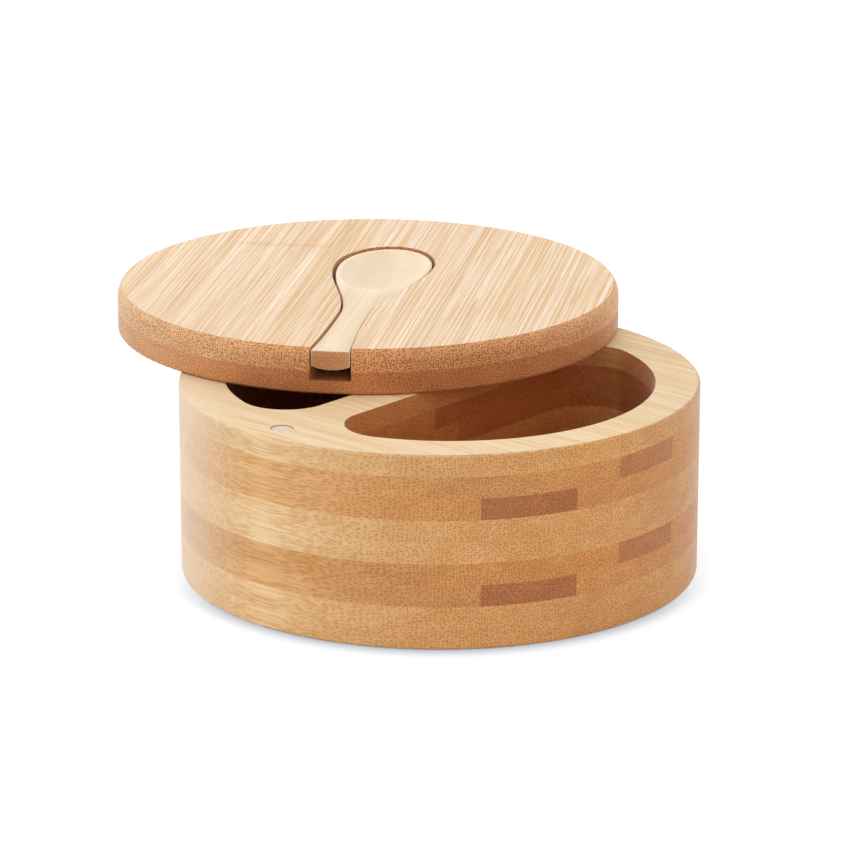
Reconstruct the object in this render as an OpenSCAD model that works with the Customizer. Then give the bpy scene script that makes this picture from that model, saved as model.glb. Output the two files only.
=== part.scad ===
// Round bamboo salt box with two compartments, a lid that swivels on an upright pin,
// and a spoon that lies in a recess in the lid.
// Sizes are in millimetres. The origin is the centre of the underside, +Z is up,
// the magnet is towards -Y and the pin towards +Y. The lid is drawn swung open.

/* [Box] */
// Diameter of the box and of its lid
box_d = 125; // [100:1:150]
// Thickness of the wall round the compartments, at its thinnest
wall = 10; // [9:0.5:12]
// Thickness of each of the nine boards that the box is glued up from
board_t = 5.2; // [4.6:0.1:6]
// Thickness of the floor under the compartments
floor_t = 8; // [6:0.1:9]
// Width of the bar between the two compartments
divider_w = 11.2; // [8:0.2:14]
// How far the middle of each compartment's round wall lies from the middle of the box
well_shift = 3.2; // [0:0.2:5]
// Radius of the compartments' upright corners
corner_r = 11; // [7:0.5:13]
// Rounding of the box's top and bottom edges
box_round = 0.6; // [0.3:0.1:1.5]

/* [Lid] */
// Thickness of each of the two boards of the lid
lid_board_t = 5.5; // [5:0.1:7]
// Radius of the rounding of the lid's upper edge
lid_round = 3.7; // [3.4:0.1:5]
// How far down from the top that rounding reaches; less than its radius leaves a crisp upper line
lid_round_h = 2.8; // [2:0.1:3.3]
// Rounding of the lid's lower edge
lid_under_round = 0.6; // [0.3:0.1:1.5]
// Gap between the lid and the rim that it slides over
lid_gap = 0.2; // [0.1:0.05:0.4]
// How far the lid is swung open, in degrees
lid_open = 56; // [0:1:180]

/* [Spoon recess] */
// Depth of the recess
recess_depth = 7.7; // [6.8:0.1:8.2]
// Width of the recess where it leaves the lid's edge
mouth_w = 10.2; // [9:0.1:12]
// Width of the recess at its neck
neck_w = 7.7; // [6:0.1:9]
// Width of the recess at the widest place of the spoon's bowl
bowl_w = 25.4; // [20:0.1:30]
// From the middle of the lid to the neck, along the recess
neck_at = 30.2; // [26:0.1:34]
// From the middle of the lid to the widest place of the bowl
bowl_at = 14.9; // [12:0.1:18]
// From the middle of the lid to the far tip of the recess
tip_at = 33.5; // [30:0.1:38]
// How far the line of the recess passes to one side of the lid's centre
recess_aside = 1.6; // [0:0.1:3]
// How far that line is off square to the line from the pin to the magnet, in degrees
recess_turn = 1.9; // [0:0.1:4]

/* [Spoon] */
// Gap between the spoon's bowl and the side of its recess
bowl_gap = 0.9; // [0.4:0.05:1.1]
// Gap between the spoon's handle and the sides of its recess
handle_gap = 0.4; // [0.35:0.05:0.8]
// How far the spoon's top lies below the top of the lid
spoon_drop = 0.4; // [0.1:0.1:0.8]
// Thickness of the handle along its middle
handle_t = 4.8; // [4:0.1:6]
// Thickness of the bowl at its edge
bowl_edge_t = 1.6; // [1:0.1:2.5]
// Width of the lip round the hollow
lip_w = 1.2; // [0.8:0.1:2]
// Depth of the hollow
hollow_depth = 4.8; // [3.5:0.1:5.5]
// From the middle of the lid to the end of the hollow that is next to the handle
hollow_end = 6; // [3:0.5:10]
// How far the spoon lies off the middle of its recess, to the side and towards the mouth
spoon_aside = 0.1; // [0:0.05:0.1]

/* [Pin and magnets] */
// Diameter of the upright pin
pin_d = 4; // [3:0.1:5]
// From the box's side to the middle of the pin
pin_inset = 9.5; // [7:0.1:10]
// Length of pin that is pressed into the box
pin_depth = 13; // [10:0.5:20]
// Running gap between the pin and its sleeve, on the radius
pin_gap = 0.05; // [0.02:0.01:0.1]
// Wall of the sleeve that is pressed into the lid
sleeve_wall = 0.95; // [0.7:0.05:1.4]
// Length of the sleeve inside the lid
sleeve_l = 7; // [5:0.1:8]
// Thickness of the pin's head, which keeps the lid on
head_t = 1; // [0.6:0.1:1.4]
// Gap between the pin's head and what it turns next to
head_gap = 0.3; // [0.2:0.05:0.5]
// Diameter of the two magnets
magnet_d = 5; // [4:0.1:6]
// Thickness of the two magnets
magnet_t = 3; // [2:0.1:4]
// From the box's side to the middle of the magnets
magnet_inset = 7.2; // [5.5:0.1:8]
// Glue gap round each magnet
magnet_gap = 0.2; // [0.05:0.05:0.3]
// How far each magnet lies below the face that it is set in
magnet_sink = 0.2; // [0:0.05:0.4]

/* [Hidden] */

box_r = box_d / 2;
box_boards = 9;
box_h = box_boards * board_t;
well_r = box_r - wall - well_shift;
lid_z = box_h + lid_gap;
lid_t = 2 * lid_board_t;
lid_top = lid_z + lid_t;
recess_z = lid_top - recess_depth;
pin_y = box_r - pin_inset;
magnet_y = box_r - magnet_inset;
magnet_z = box_h - magnet_sink - magnet_t;
lid_magnet_z = lid_z + magnet_sink;
sleeve_r = pin_d / 2 + pin_gap + sleeve_wall;
sleeve_top = lid_z + sleeve_l;
head_z = sleeve_top + head_gap;
head_r = sleeve_r - head_gap;
pin_bore_top = head_z + head_t + head_gap;
pin_foot = box_h - pin_depth;
spoon_top = lid_top - spoon_drop;
spoon_end = sqrt(pow(box_r, 2) - pow(mouth_w / 2 + recess_aside, 2));
bowl_t = spoon_top - recess_z;
back_axis = (pow(bowl_w / 2 - bowl_gap, 2) / (bowl_t - bowl_edge_t) - bowl_t - bowl_edge_t) / 2;
hollow_w = bowl_w - 2 * (bowl_gap + lip_w);
hollow_far = tip_at - bowl_gap - lip_w;
hollow_axis = (pow(hollow_w / 2, 2) / hollow_depth - hollow_depth) / 2;
hollow_ease = 0.1;      // how far the two ends of the hollow are drawn above the spoon's top
bend_steps = 20;        // straight lengths in each bend of the spoon's outline
handle_steps = 8;       // straight lengths along the handle
corner_bite = 0.02;     // how far the corner circles cross the flat and the round wall
over = 1;               // how far a cutter runs past the face that it cuts
full = 96;              // smoothness of the round parts

// Tones of the boards, lowest first
pale = "#dcb47c";
warm = "#cf9f66";
dark = "#b98350";
tones = [warm, pale, dark, warm, pale, pale, dark, warm, pale];

// ---------------------------------------------------------------- shared shapes

// Half of the section of a disc from z0 to z1 with its outer corners rounded,
// the upper one over the height high_h
module disc_section(r, z0, z1, round_low, round_high, high_h) {
    difference() {
        translate([0, z0]) square([r, z1 - z0]);
        if (round_low > 0) translate([r - round_low, z0 + round_low]) corner_waste(round_low, -1);
        if (round_high > 0) translate([r - round_high, z1 - high_h]) corner_waste(round_high, 1);
    }
}

// What a rounding of radius r takes off a corner; up is 1 for an upper corner, -1 for a lower one
module corner_waste(r, up) {
    difference() {
        translate([0, up > 0 ? 0 : -(r + over)]) square([r + over, r + over]);
        circle(r = r, $fn = full);
    }
}

module disc(r, z0, z1, round_low, round_high, high_h) {
    rotate_extrude($fn = full) disc_section(r, z0, z1, round_low, round_high, high_h);
}

module rod(r, z0, z1) {
    translate([0, 0, z0]) cylinder(r = r, h = z1 - z0, $fn = full);
}

// ---------------------------------------------------------------- box

// Plan of the right-hand compartment: a D with its two corners rounded
module well_plan() {
    face_x = divider_w / 2 - well_shift;
    fillet_x = face_x + corner_r;
    fillet_y = sqrt(pow(well_r - corner_r, 2) - pow(fillet_x, 2));
    beyond = well_r + over;
    translate([well_shift, 0]) difference() {
        circle(r = well_r, $fn = full);
        translate([-beyond, -beyond]) square([beyond + face_x, 2 * beyond]);
        for (side = [-1, 1])
            polygon([
                [fillet_x, side * fillet_y],
                [face_x - over, side * fillet_y],
                [face_x - over, side * beyond],
                [fillet_x * beyond / fillet_y, side * beyond]
            ]);
    }
    for (side = [-1, 1])
        translate([well_shift + fillet_x, side * fillet_y]) circle(r = corner_r + corner_bite, $fn = full);
}

module well() {
    translate([0, 0, floor_t]) linear_extrude(height = box_h) well_plan();
}

// One board of the box, counted from the floor up
module base_board(number) {
    z0 = (number - 1) * board_t;
    z1 = number * board_t;
    color(tones[number - 1])
    difference() {
        disc(box_r, z0, z1, number == 1 ? box_round : 0, number == box_boards ? box_round : 0, box_round);
        if (z1 > floor_t) {
            well();
            mirror([1, 0, 0]) well();
        }
        if (z1 > pin_foot) translate([0, pin_y]) rod(pin_d / 2, pin_foot, box_h + over);
        if (z1 > magnet_z)
            translate([0, -magnet_y]) rod(magnet_d / 2 + magnet_gap, magnet_z, box_h + over);
    }
}

module base_magnet() {
    color("#9c9a96")
    translate([0, -magnet_y]) rod(magnet_d / 2, magnet_z, magnet_z + magnet_t);
}

module pivot_pin() {
    color("silver")
    translate([0, pin_y]) rotate_extrude($fn = full) union() {
        translate([0, pin_foot]) square([pin_d / 2, head_z - pin_foot]);
        translate([0, head_z]) square([head_r, head_t]);
    }
}

// ---------------------------------------------------------------- lid

// Turns what is drawn for the closed lid about the pin to where the lid rests
module swung() {
    translate([0, pin_y]) rotate([0, 0, -lid_open]) translate([0, -pin_y]) children();
}

// Brings what is drawn along x to where the recess lies in the closed lid
module along_recess() {
    rotate([0, 0, -recess_turn]) translate([0, recess_aside]) children();
}

// Plans and profiles of the spoon run along x, from the bowl's tip to the handle's end,
// with x = 0 beside the lid's centre.
function ellipse(u) = sqrt(max(0, 1 - u * u));

// How much of the bowl is left at x, from 1 at its widest place to 0 at the neck
function shoulder(x) = x < neck_at ? (1 + cos(180 * (x + bowl_at) / (neck_at + bowl_at))) / 2 : 0;

// Half the width at x of an outline that lies inside the recess by one gap round the bowl
// and by another along the handle
function half_w(x, round_bowl, along_handle) =
    x < -bowl_at ? (bowl_w / 2 - round_bowl) * ellipse((x + bowl_at) / (tip_at - round_bowl - bowl_at))
    : neck_w / 2 - along_handle
        + ((bowl_w - neck_w) / 2 - round_bowl + along_handle) * shoulder(x)
        + (mouth_w - neck_w) / 2 * pow(max(0, x - neck_at) / (box_r - neck_at), 2);
function spoon_half(x) = half_w(x, bowl_gap, handle_gap);

// Where the outline has its points: round the bowl's tip, down the shoulder, along the handle
function tip_stations(far) = [for (i = [0:bend_steps]) -bowl_at - (far - bowl_at) * cos(90 * i / bend_steps)];
shoulder_stations = [for (i = [1:bend_steps]) -bowl_at + (neck_at + bowl_at) * i / bend_steps];
function handle_stations(end) = [for (i = [1:handle_steps]) neck_at + (end - neck_at) * i / handle_steps];

module outline(round_bowl, along_handle, end) {
    stations = concat(tip_stations(tip_at - round_bowl), shoulder_stations, handle_stations(end));
    one_side = [for (x = stations) [x, half_w(x, round_bowl, along_handle)]];
    other_side = [for (i = [len(stations) - 1:-1:1]) [one_side[i][0], -one_side[i][1]]];
    polygon(concat(one_side, other_side));
}

module recess() {
    along_recess() translate([0, 0, recess_z]) linear_extrude(height = recess_depth + over)
        outline(0, 0, box_r + over);
}

module lid_board(z0, z1, round_low, round_high) {
    difference() {
        disc(box_r, z0, z1, round_low, round_high, lid_round_h);
        recess();
        translate([0, pin_y]) rod(sleeve_r, lid_z - over, pin_bore_top);
        if (z0 < lid_magnet_z + magnet_t)
            translate([0, -magnet_y]) rod(magnet_d / 2 + magnet_gap, lid_z - over, lid_magnet_z + magnet_t);
    }
}

module lid_lower_board() {
    color(warm) swung() lid_board(lid_z, lid_z + lid_board_t, lid_under_round, 0);
}

module lid_upper_board() {
    color(pale) swung() lid_board(lid_z + lid_board_t, lid_top, 0, lid_round);
}

module lid_magnet() {
    color("#9c9a96")
    swung() translate([0, -magnet_y]) rod(magnet_d / 2, lid_magnet_z, lid_magnet_z + magnet_t);
}

// The sleeve stands on the rim and carries the lid clear of it
module pivot_sleeve() {
    color("goldenrod")
    swung() translate([0, pin_y]) difference() {
        rod(sleeve_r, box_h, sleeve_top);
        rod(pin_d / 2 + pin_gap, box_h - over, sleeve_top + over);
    }
}

// ---------------------------------------------------------------- spoon

// The underside and the hollow are each turned about a line above the spoon,
// which lies so high that the turned shape meets the spoon's edge all the way round.
module turned_about(height) {
    translate([0, 0, height]) rotate([0, 90, 0]) rotate_extrude($fn = full) children();
}

// Radius of the underside at x: the bowl has an even edge round its tip and swells
// under its middle, and the handle has one thickness
function back_radius(x) =
    x < -bowl_at ? norm([spoon_half(x), back_axis + bowl_edge_t])
    : back_axis + handle_t + (bowl_t - handle_t) * shoulder(x);

module back_profile() {
    bend = concat(tip_stations(tip_at), shoulder_stations);
    polygon(concat(
        [[0, -tip_at]],
        [for (x = bend) [back_radius(x), x]],
        [[back_radius(box_r), box_r], [0, box_r]]
    ));
}

// Half the width of the hollow at x: it keeps within the lip and ends bluntly next to the handle
function blunt(u) = sqrt(max(0, 1 - pow(u, 6)));
function hollow_half(x) =
    x < -bowl_at ? hollow_w / 2 * ellipse((x + bowl_at) / (hollow_far - bowl_at))
    : (spoon_half(x) - lip_w) * blunt((x + bowl_at) / (hollow_end + bowl_at));
function blunt_stations() =
    [for (i = [1:bend_steps]) -bowl_at + (hollow_end + bowl_at) * sin(90 * i / bend_steps)];

module hollow_profile() {
    bend = concat(tip_stations(hollow_far), blunt_stations());
    last = len(bend) - 1;
    polygon(concat(
        [[0, bend[0]], [hollow_axis - hollow_ease, bend[0]]],
        [for (i = [1:last - 1]) [norm([hollow_half(bend[i]), hollow_axis]), bend[i]]],
        [[hollow_axis - hollow_ease, bend[last]], [0, bend[last]]]
    ));
}

module spoon() {
    color(pale)
    swung() along_recess() translate([spoon_aside, spoon_aside, spoon_top]) difference() {
        intersection() {
            translate([0, 0, -bowl_t]) linear_extrude(height = bowl_t)
                outline(bowl_gap, handle_gap, spoon_end - spoon_aside);
            turned_about(back_axis) back_profile();
        }
        turned_about(hollow_axis) hollow_profile();
    }
}

// ---------------------------------------------------------------- what is drawn

base_board(1);  // base_board_1
base_board(2);  // base_board_2
base_board(3);  // base_board_3
base_board(4);  // base_board_4
base_board(5);  // base_board_5
base_board(6);  // base_board_6
base_board(7);  // base_board_7
base_board(8);  // base_board_8
base_board(9);  // base_board_9
base_magnet();
pivot_pin();
lid_lower_board();
lid_upper_board();
lid_magnet();
pivot_sleeve();
spoon();
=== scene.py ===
# Round bamboo salt box with two compartments, a lid that swivels on an upright pin,
# and a spoon that lies in a recess in the lid. Lengths are in metres unless a name says mm.
import math

import bpy
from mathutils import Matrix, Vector


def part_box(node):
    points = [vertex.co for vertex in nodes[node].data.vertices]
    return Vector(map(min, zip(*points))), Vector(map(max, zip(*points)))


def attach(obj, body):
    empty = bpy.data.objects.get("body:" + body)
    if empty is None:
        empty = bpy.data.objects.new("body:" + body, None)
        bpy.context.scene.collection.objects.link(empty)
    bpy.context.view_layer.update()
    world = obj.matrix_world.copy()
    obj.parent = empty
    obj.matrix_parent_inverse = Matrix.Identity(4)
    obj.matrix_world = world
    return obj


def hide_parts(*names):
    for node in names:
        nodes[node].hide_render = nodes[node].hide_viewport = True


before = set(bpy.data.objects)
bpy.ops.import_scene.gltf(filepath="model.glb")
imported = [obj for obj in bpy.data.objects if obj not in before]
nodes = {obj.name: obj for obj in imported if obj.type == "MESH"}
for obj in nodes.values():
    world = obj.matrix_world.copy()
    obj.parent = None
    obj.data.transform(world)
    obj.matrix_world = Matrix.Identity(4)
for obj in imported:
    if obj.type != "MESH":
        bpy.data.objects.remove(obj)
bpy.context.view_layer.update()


# ---------------------------------------------------------------- colours and nodes

MM = 1000.0                          # patterns are laid out in millimetres


def srgb(red, green, blue):
    """A colour as seen on a screen, 0 to 255, made linear."""
    def linear(level):
        level /= 255
        return level / 12.92 if level <= 0.04045 else ((level + 0.055) / 1.055) ** 2.4
    return (linear(red), linear(green), linear(blue), 1.0)


def new_material(name):
    material = bpy.data.materials.new(name)
    material.use_nodes = True
    tree = material.node_tree
    tree.nodes.clear()
    output = tree.nodes.new("ShaderNodeOutputMaterial")
    return material, tree, output


def connect(tree, socket, value):
    """Links the socket to another one, or sets it to a number or colour."""
    if isinstance(value, bpy.types.NodeSocket):
        tree.links.new(value, socket)
    else:
        socket.default_value = value


def add(tree, kind, sockets=None, **settings):
    """Adds a node, sets its settings, and connects its inputs by name."""
    node = tree.nodes.new(kind)
    for setting, value in settings.items():
        setattr(node, setting, value)
    for name, value in (sockets or {}).items():
        connect(tree, node.inputs[name], value)
    return node


def calc(tree, operation, first, second=0.0, third=0.0):
    node = add(tree, "ShaderNodeMath", operation=operation)
    for socket, value in zip(node.inputs, (first, second, third)):
        connect(tree, socket, value)
    return node.outputs[0]


def ramp(tree, value, start, end, low=0.0, high=1.0, smooth=True):
    """Takes value from start..end to low..high, held at both ends."""
    node = add(tree, "ShaderNodeMapRange",
               {"Value": value, "From Min": start, "From Max": end, "To Min": low, "To Max": high},
               interpolation_type="SMOOTHSTEP" if smooth else "LINEAR")
    return node.outputs[0]


def mix(tree, amount, first, second, mode="MIX"):
    node = add(tree, "ShaderNodeMix", data_type="RGBA", blend_type=mode)
    factor, colour_a, colour_b = node.inputs[0], node.inputs[6], node.inputs[7]
    for socket, value in zip((factor, colour_a, colour_b), (amount, first, second)):
        connect(tree, socket, value)
    return node.outputs[2]


def tinted(tree, amount, colour, tint):
    """The colour multiplied by the tint, by that amount."""
    return mix(tree, amount, colour, tint, "MULTIPLY")


def grey(tree, level):
    """The same level in all three channels, to multiply a colour by."""
    return add(tree, "ShaderNodeCombineColor", {"Red": level, "Green": level, "Blue": level}).outputs[0]


def split(tree, vector):
    return add(tree, "ShaderNodeSeparateXYZ", {"Vector": vector}).outputs


def point(tree, x, y, z):
    return add(tree, "ShaderNodeCombineXYZ", {"X": x, "Y": y, "Z": z}).outputs[0]


def along_direction(tree, place, direction):
    """How far the place lies in a direction, times the length of the direction."""
    node = add(tree, "ShaderNodeVectorMath", operation="DOT_PRODUCT")
    for socket, value in zip(node.inputs, (place, direction)):
        connect(tree, socket, value)
    return node.outputs["Value"]


# ---------------------------------------------------------------- bamboo

HIGHLIGHT_WOOD = srgb(243, 223, 193)      # what the wood's colour goes towards in the painted highlight on one side

# What a colour is multiplied by
GOLDEN = (0.985, 0.945, 0.86, 1)     # in the broad bands of yellower fibre
THIN_LINE = (0.98, 0.86, 0.69, 1)    # in the finest lines, against the streaks
DARK_STRIP = (0.70, 0.55, 0.54, 1)   # in a strip of darker bamboo
PAINTED_SHADE = (0.84, 0.66, 0.53, 1)       # in painted shade on the upright walls inside the compartments and the lid's recess
KNOT_LINE = (0.91, 0.80, 0.66, 1)    # in the ticks where the cane had its knot

# Cells of the patterns in the wood, in mm: along the grain, across it and up
BAND_CELL = (240, 5.5, 4)            # broad bands of tone
WANDER_CELL = (45, 9, 9)             # the slow wander of the fibre bundles
KNOT_JAG_CELL = (400, 0.9, 5)        # how a knot line jumps from fibre to fibre
KNOT_TICK_CELL = (2.6, 0.5, 5)       # the ticks that it is made of
SEED_SHIFT_MM = 100                  # how far apart two pieces' patterns are taken

LEVEL = (0.8, 0.97)                  # upward part of the normal where a surface starts to be level, and is
UPRIGHT = (0.9, 0.5)                 # the same for upright, of the normal's upward or downward part

BAND_RANGE = (0.3, 0.7)              # part of the bands' noise that goes
BAND_TONES = (0.97, 1.03)            # from the darkest to the palest tone
GOLDEN_RANGE = (0.6, 0.36)           # and from plain to golden
THIN_LINE_MM = 0.42                  # width of the finest lines
THIN_LINE_LENGTH = 0.35              # their length, as a share of the streaks'
THIN_LINE_RANGE = (0.54, 0.58)       # part of their noise in which they start and are full

WANDER_MM = 2.4                      # how far the fibre bundles wander
DOT_SCATTER = 0.65                   # how unevenly they are spread, 0 to 1
DOT_EDGE = (0.44, 0.14)              # where a dot starts and is full, in cells from its middle
DOT_FADE = 0.12                      # how gradually dots drop out where there are fewer
DOT_IN_FACE = 0.30                   # how strongly dots show where the fibres lie in the surface
OUTSIDE_UP = (0.72, 1.0)             # share of dots at a board's bottom and top, cane's outside up
OUTSIDE_DOWN = (1.0, 0.72)           # the same with the cane's outside down

STRIP_MM = 20.4                      # width of the strips that each board is glued up from
STRIP_TONES = (0.95, 1.04)           # darkest and palest tone of a strip
JOINT_TONE = 0.96                    # tone of the joint between two strips
JOINT_SHARE = 0.007                  # half the joint's width, as a share of the strip's
SAME_STRIP = 0.1                     # strip numbers closer than this are the same

KNOT_JAG_MM = 5.0                    # how far a knot line jumps
KNOT_EDGE_MM = (2.6, 0.6)            # where it starts and is full, from its middle
KNOT_END_MM = 3                      # length over which its ends fade
TICK_RANGE = (0.42, 0.6)             # part of the ticks' noise that goes
TICK_STRENGTHS = (0.25, 1.0)         # from faint to full

SHADE_EDGE_MM = 0.1                    # half the width over which that painted shade ends
DARK_STRIPS_IN_SHADE = 0.6                    # how much darker some strips are inside the compartments: partly darker bamboo, partly painted shade

STREAK_RANGE = (0.2, 0.8)            # part of the streaks' noise that goes
WOOD_ROUGHNESS = (0.6, 0.44)         # from dull to smoother
DOT_RELIEF = -0.35                   # how far the dots lie below the streaks
WOOD_RELIEF = 0.00008                # height of the relief


class Wood:
    """The places that one bamboo material is laid out on.

    along the fibres, across them and up are in mm. shifted is across with the seed's shift.
    """

    def __init__(self, tree, grain_turn, seed):
        self.tree = tree
        coordinates = add(tree, "ShaderNodeTexCoord").outputs
        self.object_place = coordinates["Object"]
        turned = add(tree, "ShaderNodeMapping", {
            "Vector": coordinates["Object"],
            "Rotation": (0, 0, grain_turn),
            "Scale": (MM, MM, MM)}).outputs[0]
        facing = add(tree, "ShaderNodeMapping", {
            "Vector": coordinates["Normal"],
            "Rotation": (0, 0, grain_turn)}).outputs[0]
        self.along, self.across, self.up = split(tree, turned)
        self.shifted = calc(tree, "ADD", self.across, SEED_SHIFT_MM * seed)
        self.facing_along, _, self.facing_up = split(tree, facing)
        self.is_level = ramp(tree, self.facing_up, *LEVEL)

    def noise(self, cell, detail=2.0, roughness=0.5, shifted=True):
        """Cloudy noise with cells of that length, width and height in mm."""
        tree = self.tree
        across = self.shifted if shifted else self.across
        place = point(tree, *(calc(tree, "DIVIDE", value, length)
                              for value, length in zip((self.along, across, self.up), cell)))
        return add(tree, "ShaderNodeTexNoise",
                   {"Vector": place, "Scale": 1.0, "Detail": detail, "Roughness": roughness}).outputs


def fibres_cut(wood, square_cut):
    """How much the surface cuts the fibres, 0 to 1. With square_cut only squarely cut ones count."""
    tree = wood.tree
    squareness = calc(tree, "ABSOLUTE", wood.facing_along)
    if square_cut:
        return calc(tree, "POWER", squareness, 8.0)
    in_surface = calc(tree, "SUBTRACT", 1.0, squareness)
    return calc(tree, "SUBTRACT", 1.0, calc(tree, "POWER", in_surface, 2.0))


def fibre_dots(wood, dot_mm, crowd, low_mm, thick_mm):
    """The fibre bundles, 1 in them and 0 between: columns along the grain that wander a little."""
    tree = wood.tree
    drift = split(tree, wood.noise(WANDER_CELL, detail=1.0)["Color"])
    sideways = calc(tree, "MULTIPLY_ADD", drift[0], WANDER_MM, wood.shifted)
    upwards = calc(tree, "MULTIPLY_ADD", drift[1], WANDER_MM, wood.up)
    column = point(tree, *(calc(tree, "DIVIDE", value, dot_mm) for value in (sideways, upwards)), 0.0)
    cell = add(tree, "ShaderNodeTexVoronoi",
               {"Vector": column, "Scale": 1.0, "Randomness": DOT_SCATTER},
               voronoi_dimensions="2D").outputs
    chance = split(tree, cell["Color"])[0]
    share = ramp(tree, wood.up, low_mm, low_mm + thick_mm, *crowd, smooth=False)
    present = ramp(tree, calc(tree, "SUBTRACT", share, chance), -DOT_FADE, DOT_FADE)
    return calc(tree, "MULTIPLY", ramp(tree, cell["Distance"], *DOT_EDGE), present)


def glued_strips(wood, colour, seed, first_joint, dark):
    """Strips side by side across the grain, each of its own tone, with fine darker joints.

    dark is the number of a darker strip and how much of the dark tint it takes, or None.
    Gives the colour, the tone to multiply it by, and the number of the strip.
    """
    tree = wood.tree
    place = calc(tree, "DIVIDE", calc(tree, "SUBTRACT", wood.across, first_joint), STRIP_MM)
    strip = calc(tree, "FLOOR", place)
    chance = add(tree, "ShaderNodeTexWhiteNoise", {"W": calc(tree, "ADD", strip, seed + 0.5)},
                 noise_dimensions="1D").outputs["Value"]
    strip_tone = ramp(tree, chance, 0.0, 1.0, *STRIP_TONES, smooth=False)
    from_joint = calc(tree, "PINGPONG", place, 0.5)
    joint_tone = ramp(tree, from_joint, 0.0, JOINT_SHARE, JOINT_TONE, 1.0)
    if dark:
        is_dark = calc(tree, "COMPARE", strip, dark[0], SAME_STRIP)
        colour = tinted(tree, calc(tree, "MULTIPLY", is_dark, dark[1]), colour, DARK_STRIP)
    return colour, calc(tree, "MULTIPLY", strip_tone, joint_tone), strip


def paint_side_highlight(wood, colour, direction, start_mm, palest_mm, amount):
    """Painted highlight on one side: the wood gets paler in a direction in the plan, from start_mm to
    palest_mm.
    """
    direction_in_mm = (MM * math.cos(direction), MM * math.sin(direction), 0)
    toward = along_direction(wood.tree, wood.object_place, direction_in_mm)
    return mix(wood.tree, ramp(wood.tree, toward, start_mm, palest_mm, 0.0, amount), colour, HIGHLIGHT_WOOD)


def paint_edge_shade(wood, colour, start_mm, width_mm, tint):
    """Painted shade: upright surfaces get darker from a place across the grain on, and the end before it
    stays paler, as lit.
    """
    tree = wood.tree
    beyond = ramp(tree, wood.across, start_mm, start_mm + width_mm)
    not_level = calc(tree, "SUBTRACT", 1.0, wood.is_level)
    return tinted(tree, calc(tree, "MULTIPLY", beyond, not_level), colour, tint)


def knot_ticks(wood, colour, place_mm, middle_mm, reach_mm):
    """The faint jagged line across the grain where the cane had its knot.

    It lies at place_mm along the grain, and reaches reach_mm to both sides of middle_mm across it.
    """
    tree = wood.tree
    jag = wood.noise(KNOT_JAG_CELL, roughness=0.7, shifted=False)[0]
    off_line = calc(tree, "MULTIPLY_ADD", jag, -KNOT_JAG_MM, wood.along)
    off_line = calc(tree, "ABSOLUTE", calc(tree, "SUBTRACT", off_line, place_mm - KNOT_JAG_MM / 2))
    ticks = wood.noise(KNOT_TICK_CELL, detail=1.0, shifted=False)[0]
    off_middle = calc(tree, "ABSOLUTE", calc(tree, "SUBTRACT", wood.across, middle_mm))
    on_line = ramp(tree, off_line, *KNOT_EDGE_MM)
    on_line = calc(tree, "MULTIPLY", on_line, ramp(tree, ticks, *TICK_RANGE, *TICK_STRENGTHS))
    on_line = calc(tree, "MULTIPLY", on_line, ramp(tree, off_middle, reach_mm, reach_mm - KNOT_END_MM))
    return tinted(tree, on_line, colour, KNOT_LINE)


def paint_recess_shade(wood, colour, strip, middle_mm, radius_mm, amount, first_dark=None):
    """Painted shade: upright surfaces inside a circle, the walls of the compartments and of the recess,
    are darker.

    The strips from number first_dark on are darker there too, partly as darker bamboo, partly as more
    painted shade.
    """
    tree = wood.tree
    east, north, _ = split(tree, wood.object_place)
    east = calc(tree, "SUBTRACT", east, middle_mm[0] / MM)
    north = calc(tree, "SUBTRACT", north, middle_mm[1] / MM)
    squares = calc(tree, "MULTIPLY_ADD", east, east, calc(tree, "MULTIPLY", north, north))
    off_middle = calc(tree, "SQRT", squares)
    edge = ((radius_mm + SHADE_EDGE_MM) / MM, (radius_mm - SHADE_EDGE_MM) / MM)
    inside = ramp(tree, off_middle, *edge, 0.0, amount)
    is_upright = ramp(tree, calc(tree, "ABSOLUTE", wood.facing_up), *UPRIGHT)
    inside = calc(tree, "MULTIPLY", inside, is_upright)
    colour = tinted(tree, inside, colour, PAINTED_SHADE)
    if first_dark is not None:
        is_dark = calc(tree, "GREATER_THAN", strip, first_dark - 0.5)
        is_dark = calc(tree, "MULTIPLY", is_dark, calc(tree, "MULTIPLY", inside, DARK_STRIPS_IN_SHADE))
        colour = tinted(tree, is_dark, colour, DARK_STRIP)
    return colour


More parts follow.
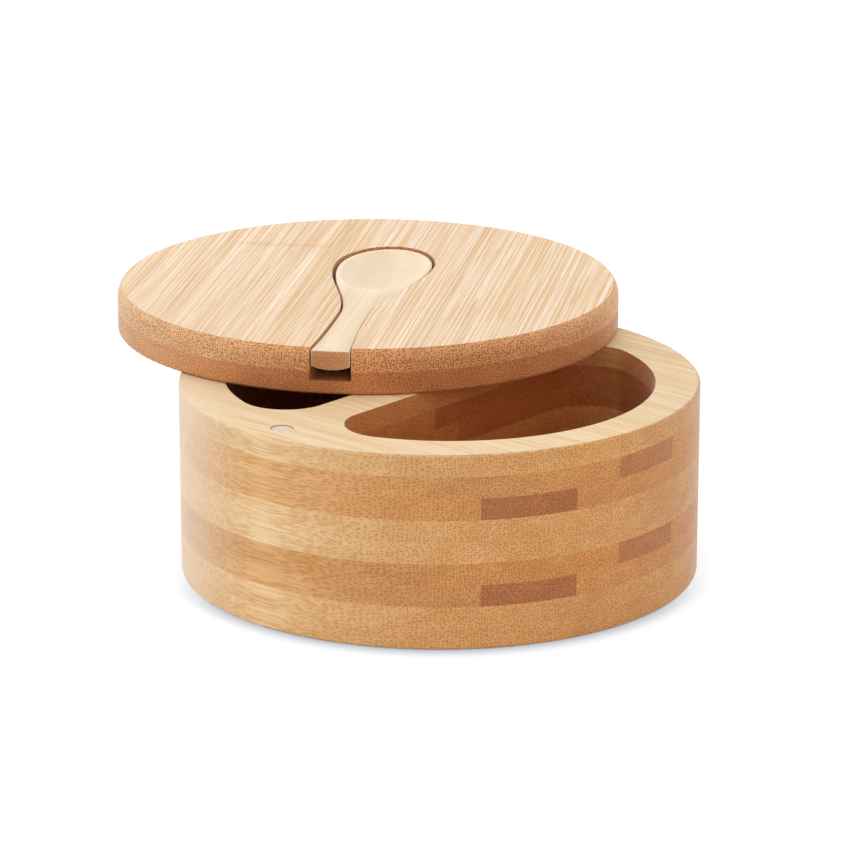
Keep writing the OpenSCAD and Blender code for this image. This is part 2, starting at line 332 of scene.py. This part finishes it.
def bamboo(name, face, face_streak, end, end_dot, low_mm, thick_mm, level=None, seed=0,
           grain_turn=0.0, streak_mm=(70, 0.62), streak_levels=(0.28, 0.58), thin_lines=0.85,
           dot_mm=0.6, crowd=OUTSIDE_DOWN, square_cut=False, strips=None, side_highlight=None,
           edge_shade=None, knot=None, shade_inside=None, sheen=0.4):
    """Bamboo with its fibres along X, or turned from it by grain_turn.

    Where the fibres lie in the surface they show as long fine streaks in the face's colours, and
    where the surface cuts them they show as dots in the end's. low_mm and thick_mm are the bottom
    and thickness of the board. level is a second pair of face colours, for surfaces that face up.
    streak_mm is the length and width of the streaks, streak_levels the part of their noise that
    goes from their colour to the face's, and thin_lines how strongly the finest lines show.
    crowd is the share of dots at the bottom and at the top. strips, side_highlight, edge_shade, knot and
    cutter are what the functions above are given. sheen is the dusty sheen of sanded wood.
    """
    material, tree, output = new_material(name)
    wood = Wood(tree, grain_turn, seed)
    streak_length, streak_width = streak_mm
    streaks = wood.noise((streak_length, streak_width, streak_width), detail=3.0, roughness=0.6)[0]
    bands = wood.noise(BAND_CELL)[0]
    thin_cell = (THIN_LINE_LENGTH * streak_length, THIN_LINE_MM, THIN_LINE_MM)
    thin = ramp(tree, wood.noise(thin_cell, detail=1.0)[0], *THIN_LINE_RANGE, 0.0, thin_lines)
    dot = fibre_dots(wood, dot_mm, crowd, low_mm, thick_mm)
    tone = ramp(tree, bands, *BAND_RANGE, *BAND_TONES)

    if level:
        face = mix(tree, wood.is_level, face, level[0])
        face_streak = mix(tree, wood.is_level, face_streak, level[1])
    long_grain = mix(tree, ramp(tree, streaks, *streak_levels), face_streak, face)
    long_grain = mix(tree, thin, long_grain, tinted(tree, 1.0, face_streak, THIN_LINE))
    long_grain = mix(tree, calc(tree, "MULTIPLY", dot, DOT_IN_FACE), long_grain, face_streak)
    cross_grain = mix(tree, dot, end, end_dot)
    colour = mix(tree, fibres_cut(wood, square_cut), long_grain, cross_grain)
    colour = tinted(tree, ramp(tree, bands, *GOLDEN_RANGE), colour, GOLDEN)

    strip = None
    if strips:
        colour, strip_tone, strip = glued_strips(wood, colour, seed, *strips)
        tone = calc(tree, "MULTIPLY", tone, strip_tone)
    # painted highlight, paler wood towards one side
    if side_highlight:
        colour = paint_side_highlight(wood, colour, *side_highlight)
    # painted shade on part of an edge
    if edge_shade:
        colour = paint_edge_shade(wood, colour, *edge_shade)
    if knot:
        colour = knot_ticks(wood, colour, *knot)
    # painted shade on the walls inside the compartments and the recess
    if shade_inside:
        colour = paint_recess_shade(wood, colour, strip, *shade_inside)
    colour = tinted(tree, 1.0, colour, grey(tree, tone))

    relief = calc(tree, "MULTIPLY_ADD", dot, DOT_RELIEF, streaks)
    bump = add(tree, "ShaderNodeBump", {"Strength": 0.35, "Distance": WOOD_RELIEF, "Height": relief})
    shader = add(tree, "ShaderNodeBsdfPrincipled", {
        "Base Color": colour,
        "Roughness": ramp(tree, streaks, *STREAK_RANGE, *WOOD_ROUGHNESS),
        "Normal": bump.outputs[0],
        "IOR": 1.45,
        "Sheen Weight": sheen,
        "Sheen Roughness": 0.3})
    tree.links.new(shader.outputs[0], output.inputs["Surface"])
    return material


# ---------------------------------------------------------------- metal

CLOUDS_PER_MM = 0.9
SCRATCHES_PER_MM = 6.0
CLOUD_RANGE = (0.35, 0.7)            # part of the clouds' noise that goes from the tone to the worn one
SCRATCH_RANGE = (0.3, 0.7)           # part of the scratches' noise that goes from smooth to rough
SMOOTHER = 0.06                      # how far the roughness goes below its middle
ROUGHER = 0.1                        # and above it
METAL_RELIEF = 0.00003               # height of the scratches


def metal(name, tone, worn, roughness):
    """Metal with cloudy spots of a second tone and fine scratches."""
    material, tree, output = new_material(name)
    place = add(tree, "ShaderNodeMapping", {
        "Vector": add(tree, "ShaderNodeTexCoord").outputs["Object"],
        "Scale": (MM, MM, MM)}).outputs[0]
    clouds = add(tree, "ShaderNodeTexNoise",
                 {"Vector": place, "Scale": CLOUDS_PER_MM, "Detail": 4.0}).outputs[0]
    scratches = add(tree, "ShaderNodeTexNoise",
                    {"Vector": place, "Scale": SCRATCHES_PER_MM, "Detail": 3.0}).outputs[0]
    bump = add(tree, "ShaderNodeBump", {"Strength": 0.15, "Distance": METAL_RELIEF, "Height": scratches})
    shader = add(tree, "ShaderNodeBsdfPrincipled", {
        "Base Color": mix(tree, ramp(tree, clouds, *CLOUD_RANGE), tone, worn),
        "Metallic": 1.0,
        "Roughness": ramp(tree, scratches, *SCRATCH_RANGE, roughness - SMOOTHER, roughness + ROUGHER),
        "Normal": bump.outputs[0]})
    tree.links.new(shader.outputs[0], output.inputs["Surface"])
    return material


# ---------------------------------------------------------------- finishes of the pieces

# Darkest and palest colours that a board of the box may have
BOARD_FACE = (srgb(230, 184, 126), srgb(240, 213, 168))
BOARD_STREAK = (srgb(212, 156, 96), srgb(228, 190, 136))
BOARD_END = (srgb(207, 142, 78), srgb(216, 160, 97))
BOARD_DOT = (srgb(162, 100, 48), srgb(174, 116, 62))

# Colours of the face and its streaks on surfaces that face up
RIM_COLOURS = (srgb(237, 211, 172), srgb(229, 197, 146))
FLOOR_COLOURS = (srgb(212, 166, 114), srgb(196, 144, 90))

# Where the first joint between strips lies across the grain, in mm, in boards laid by turns
ODD_JOINT = -60.8
EVEN_JOINT = -48.8

# The boards of the box from the lowest to the highest: tone from 0 dark to 1 pale, first joint
# between strips, the strip that is darker than its neighbours and how much so, and share of dots
BOARD_LOOKS = [
    dict(tone=0.65, joint=ODD_JOINT, dark=None, crowd=OUTSIDE_DOWN),
    dict(tone=0.75, joint=EVEN_JOINT, dark=None, crowd=OUTSIDE_DOWN),
    dict(tone=0.10, joint=ODD_JOINT, dark=(1, 1.0), crowd=OUTSIDE_DOWN),
    dict(tone=0.00, joint=EVEN_JOINT, dark=(2, 0.7), crowd=OUTSIDE_DOWN),
    dict(tone=1.00, joint=ODD_JOINT, dark=None, crowd=OUTSIDE_UP),
    dict(tone=0.90, joint=EVEN_JOINT + 5, dark=None, crowd=OUTSIDE_DOWN),
    dict(tone=0.10, joint=ODD_JOINT, dark=(1, 1.0), crowd=OUTSIDE_DOWN),
    dict(tone=0.15, joint=EVEN_JOINT, dark=(2, 0.7), crowd=OUTSIDE_DOWN),
    dict(tone=1.00, joint=ODD_JOINT, dark=None, crowd=OUTSIDE_UP),
]
TOP_BOARD = len(BOARD_LOOKS)
DARK_WALL_BOARDS = (7, 8)            # boards whose strips are darker inside the compartments, partly darker bamboo and partly painted shade
FIRST_DARK_WALL = 3                  # number of the first of those strips

BOX_MIDDLE_MM = (0, 0)
BOX_SHADE_MM = 52.65                   # radius just outside the compartments' walls, inside which the walls get painted shade
# Painted highlight on the box's side: direction in the plan, where it starts and is palest in mm, and its
# strength
BOX_SIDE_HIGHLIGHT = (math.radians(41.2), -43, -62.5, 0.6)

LID_MIDDLE_MM = (-43.9, 23.4)        # with the lid swung as in the photo
LID_LOWER_SHADE_MM = 61.7              # radii just inside the edges of the lid's boards, inside which the recess walls get painted shade
LID_UPPER_SHADE_MM = 61
LID_GRAIN = math.radians(58.5)       # how far the lid's grain is turned from the box's

SPOON_THICK_MM = 8


def finish_node(name, material):
    """Gives a piece of the frame its material in place of the plain one."""
    mesh = nodes[name].data
    mesh.materials.clear()
    mesh.materials.append(material)


def bottom_and_thickness(node):
    lowest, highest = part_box(node)
    return dict(low_mm=lowest.z * MM, thick_mm=(highest.z - lowest.z) * MM)


def between(dark, pale, share):
    return tuple(a + (b - a) * share for a, b in zip(dark, pale))


def finish_box():
    for number, look in enumerate(BOARD_LOOKS, start=1):
        node = f"base_board_{number}"
        first_dark = FIRST_DARK_WALL if number in DARK_WALL_BOARDS else None
        finish_node(node, bamboo(
            f"bamboo board {number}",
            face=between(*BOARD_FACE, look["tone"]),
            face_streak=between(*BOARD_STREAK, look["tone"]),
            end=between(*BOARD_END, look["tone"]),
            end_dot=between(*BOARD_DOT, look["tone"]),
            level=RIM_COLOURS if number == TOP_BOARD else FLOOR_COLOURS,
            crowd=look["crowd"], seed=number,
            strips=(look["joint"], look["dark"]),
            # painted highlight on one side of the box
            side_highlight=BOX_SIDE_HIGHLIGHT,
            # painted shade on the compartments' walls
            shade_inside=(BOX_MIDDLE_MM, BOX_SHADE_MM, 1.0, first_dark),
            **bottom_and_thickness(node)))


def finish_lid():
    finish_node("lid_lower_board", bamboo(
        "bamboo lid, lower board",
        face=srgb(228, 188, 134), face_streak=srgb(208, 160, 106),
        end=srgb(215, 153, 98), end_dot=srgb(148, 94, 54),
        # the recess floor darker than the top: painted shade of the narrow slot under the spoon's handle
        level=(srgb(156, 98, 52), srgb(138, 82, 40)),
        dot_mm=0.5, crowd=(1.0, 0.85), grain_turn=LID_GRAIN, seed=11,
        # painted shade: the edge darker from here on, its lit end paler
        edge_shade=(-75, 47, (0.81, 0.64, 0.52, 1)),
        # painted shade on the recess walls
        shade_inside=(LID_MIDDLE_MM, LID_LOWER_SHADE_MM, 1.0),
        sheen=0.12,
        **bottom_and_thickness("lid_lower_board")))
    finish_node("lid_upper_board", bamboo(
        "bamboo lid, upper board",
        face=srgb(230, 194, 146), face_streak=srgb(216, 174, 122),
        end=srgb(224, 171, 119), end_dot=srgb(138, 86, 50),
        level=(srgb(240, 218, 192), srgb(221, 178, 120)),
        crowd=(1.0, 0.75), grain_turn=LID_GRAIN, seed=12,
        streak_mm=(160, 0.5), streak_levels=(0.36, 0.58),
        # painted shade: the edge darker from here on, its lit end paler
        edge_shade=(-58, 36, (0.95, 0.79, 0.65, 1)),
        knot=(-73.5, -52.5, 13.5),
        # painted shade on the recess walls
        shade_inside=(LID_MIDDLE_MM, LID_UPPER_SHADE_MM, 0.4),
        **bottom_and_thickness("lid_upper_board")))


def finish_spoon():
    finish_node("spoon", bamboo(
        "bamboo spoon",
        face=srgb(238, 216, 186), face_streak=srgb(231, 203, 165),
        end=srgb(198, 138, 88), end_dot=srgb(148, 94, 54),
        low_mm=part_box("spoon")[0].z * MM, thick_mm=SPOON_THICK_MM,
        dot_mm=0.5, grain_turn=LID_GRAIN, seed=13,
        streak_mm=(40, 0.5), thin_lines=0.15, square_cut=True,
        # painted light on the bowl, against the shade in its hollow
        side_highlight=(-LID_GRAIN, -28, -42, 0.7)))


def finish_metal():
    nickel = dict(tone=srgb(226, 212, 198), worn=srgb(214, 198, 182), roughness=0.55)
    finish_node("base_magnet", metal("dull nickel plate", **nickel))
    finish_node("lid_magnet", metal("dull nickel plate, lid", **nickel))
    finish_node("pivot_pin", metal("turned steel", srgb(190, 190, 194), srgb(150, 150, 154), 0.3))
    finish_node("pivot_sleeve", metal("turned brass", srgb(214, 178, 104), srgb(168, 130, 70), 0.32))


finish_box()
finish_lid()
finish_spoon()
finish_metal()


# ---------------------------------------------------------------- spoon

SANDED_EDGE = 0.00025                # width of the rounding that sanding leaves
WELD_DISTANCE = 1e-6                 # corners closer than this are joined
FLAT_ANGLE = math.radians(0.5)       # facets that differ by less than this are joined
SHARP_ANGLE = math.radians(32)       # edges sharper than this are rounded
SMOOTH_ANGLE = math.radians(35)      # edges less sharp than this are shaded smooth


def soft_edged_spoon():
    """The spoon with its edges rounded off, as sanding leaves them."""
    bpy.ops.object.select_all(action="DESELECT")
    spoon = bpy.data.objects.new("spoon_sanded", nodes["spoon"].data.copy())
    bpy.context.scene.collection.objects.link(spoon)
    bpy.context.view_layer.objects.active = spoon
    spoon.select_set(True)
    bpy.ops.object.mode_set(mode="EDIT")
    bpy.ops.mesh.select_all(action="SELECT")
    bpy.ops.mesh.remove_doubles(threshold=WELD_DISTANCE)
    bpy.ops.mesh.dissolve_limited(angle_limit=FLAT_ANGLE)
    bpy.ops.object.mode_set(mode="OBJECT")
    edge = spoon.modifiers.new("sanded edges", "BEVEL")
    edge.width = SANDED_EDGE
    edge.segments = 3
    edge.limit_method = "ANGLE"
    edge.angle_limit = SHARP_ANGLE
    edge.use_clamp_overlap = False
    bpy.ops.object.modifier_apply(modifier=edge.name)
    bpy.ops.object.shade_smooth_by_angle(angle=SMOOTH_ANGLE)
    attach(spoon, "spoon")
    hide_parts("spoon")


soft_edged_spoon()


# ---------------------------------------------------------------- floor and light

FLOOR_WIDTH = 6
WHITE = (1, 1, 1, 1)
LIT_FLOOR = (0.8, 0.8, 0.8, 1)       # the floor's colour as it lights the object
SEEN_FLOOR = (0.19, 0.20, 0.22, 1)   # the part of the floor seen that takes the lamps' light
OPEN_GLOW = 0.86                     # the even glow that makes up the rest, in the open
SHADOW_GLOW = 0.42                   # and in the close shadow round the foot of the box
SHADOW_TINT = (0.86, 0.93, 1.0, 1)   # colour of the glow in that shadow
SHADOW_REACH = 0.008                 # how far the close shadow reaches
SHADOW_OPENNESS = (0.95, 0.4)        # open share of the surroundings where it starts and is full
SHADOW_SIDE = (0.656, -0.755, 0)     # the side of the box on which it is strongest
SHADOW_SIDE_RANGE = (0.006, 0.042)   # how far to that side it is faintest and strongest
FAINTEST_SHADOW = 0.15
ROOM_FILL = 0.84                     # strength of the white room's light on the object
LAMP_TARGET = (0, 0, 0.03)           # middle of the box


def seen_directly(tree):
    """1 for what is seen, mirrored or seen through, 0 for the light on other surfaces."""
    rays = add(tree, "ShaderNodeLightPath").outputs
    return calc(tree, "MAXIMUM", rays["Is Camera Ray"],
                calc(tree, "MAXIMUM", rays["Is Glossy Ray"], rays["Is Transmission Ray"]))


def close_shadow(tree):
    """The soft dark line round the foot of the box, 0 to 1."""
    open_share = add(tree, "ShaderNodeAmbientOcclusion", {"Distance": SHADOW_REACH}).outputs["AO"]
    place = add(tree, "ShaderNodeTexCoord").outputs["Object"]
    to_side = along_direction(tree, place, SHADOW_SIDE)
    depth = ramp(tree, to_side, *SHADOW_SIDE_RANGE, FAINTEST_SHADOW, 1.0)
    return calc(tree, "MULTIPLY", ramp(tree, open_share, *SHADOW_OPENNESS), depth)


def plain_floor():
    bpy.ops.object.select_all(action="DESELECT")
    bpy.ops.mesh.primitive_plane_add(size=FLOOR_WIDTH, location=(0, 0, 0))
    floor = bpy.context.object
    floor.name = "floor"
    material, tree, output = new_material("plain pale floor")
    lighting = add(tree, "ShaderNodeBsdfDiffuse", {"Color": LIT_FLOOR})
    shaded = add(tree, "ShaderNodeBsdfDiffuse", {"Color": SEEN_FLOOR})
    shadow = close_shadow(tree)
    glow = add(tree, "ShaderNodeEmission", {
        "Color": mix(tree, shadow, WHITE, SHADOW_TINT),
        "Strength": ramp(tree, shadow, 0.0, 1.0, OPEN_GLOW, SHADOW_GLOW, smooth=False)})
    seen = add(tree, "ShaderNodeAddShader")
    tree.links.new(shaded.outputs[0], seen.inputs[0])
    tree.links.new(glow.outputs[0], seen.inputs[1])
    both = add(tree, "ShaderNodeMixShader")
    tree.links.new(seen_directly(tree), both.inputs[0])
    tree.links.new(lighting.outputs[0], both.inputs[1])
    tree.links.new(seen.outputs[0], both.inputs[2])
    tree.links.new(both.outputs[0], output.inputs["Surface"])
    floor.data.materials.append(material)


def soft_world():
    world = bpy.data.worlds.new("soft white room")
    world.use_nodes = True
    bpy.context.scene.world = world
    tree = world.node_tree
    tree.nodes.clear()
    strength = calc(tree, "MULTIPLY_ADD", seen_directly(tree), 1.0 - ROOM_FILL, ROOM_FILL)
    background = add(tree, "ShaderNodeBackground", {"Color": WHITE, "Strength": strength})
    output = add(tree, "ShaderNodeOutputWorld")
    tree.links.new(background.outputs[0], output.inputs["Surface"])


def soft_lamp(name, power, width, place):
    """A square lamp that points at the middle of the box."""
    lamp = bpy.data.lights.new(name, "AREA")
    lamp.energy = power
    lamp.size = width
    lamp_object = bpy.data.objects.new(name, lamp)
    bpy.context.scene.collection.objects.link(lamp_object)
    lamp_object.location = place
    to_target = Vector(LAMP_TARGET) - Vector(place)
    lamp_object.rotation_euler = to_target.to_track_quat("-Z", "Y").to_euler()


plain_floor()
soft_world()
soft_lamp("overhead softbox", power=1.5, width=1.0, place=(-0.25, 0.1, 1.1))
soft_lamp("front fill, left", power=2.2, width=0.8, place=(-0.75, -0.75, 0.45))
soft_lamp("side fill, right", power=1.3, width=0.7, place=(0.95, -0.35, 0.45))
soft_lamp("rim light, left", power=1.6, width=0.9, place=(-0.95, 0.45, 0.3))


# ---------------------------------------------------------------- camera

# Fitted to the outlines in the photo
CAMERA_PLACE = (0.6282, -0.7226, 0.3328)
CAMERA_TILT = math.radians(72.703)   # 90 degrees would be level
CAMERA_TURN = math.radians(41.21)
LENS_MM = 176.4
SENSOR_MM = 36


def photo_camera():
    lens = bpy.data.cameras.new("camera")
    lens.lens = LENS_MM
    lens.sensor_width = SENSOR_MM
    camera = bpy.data.objects.new("camera", lens)
    bpy.context.scene.collection.objects.link(camera)
    camera.location = CAMERA_PLACE
    camera.rotation_euler = (CAMERA_TILT, 0, CAMERA_TURN)
    bpy.context.scene.camera = camera


photo_camera()
bpy.context.scene.view_settings.view_transform = "Standard"
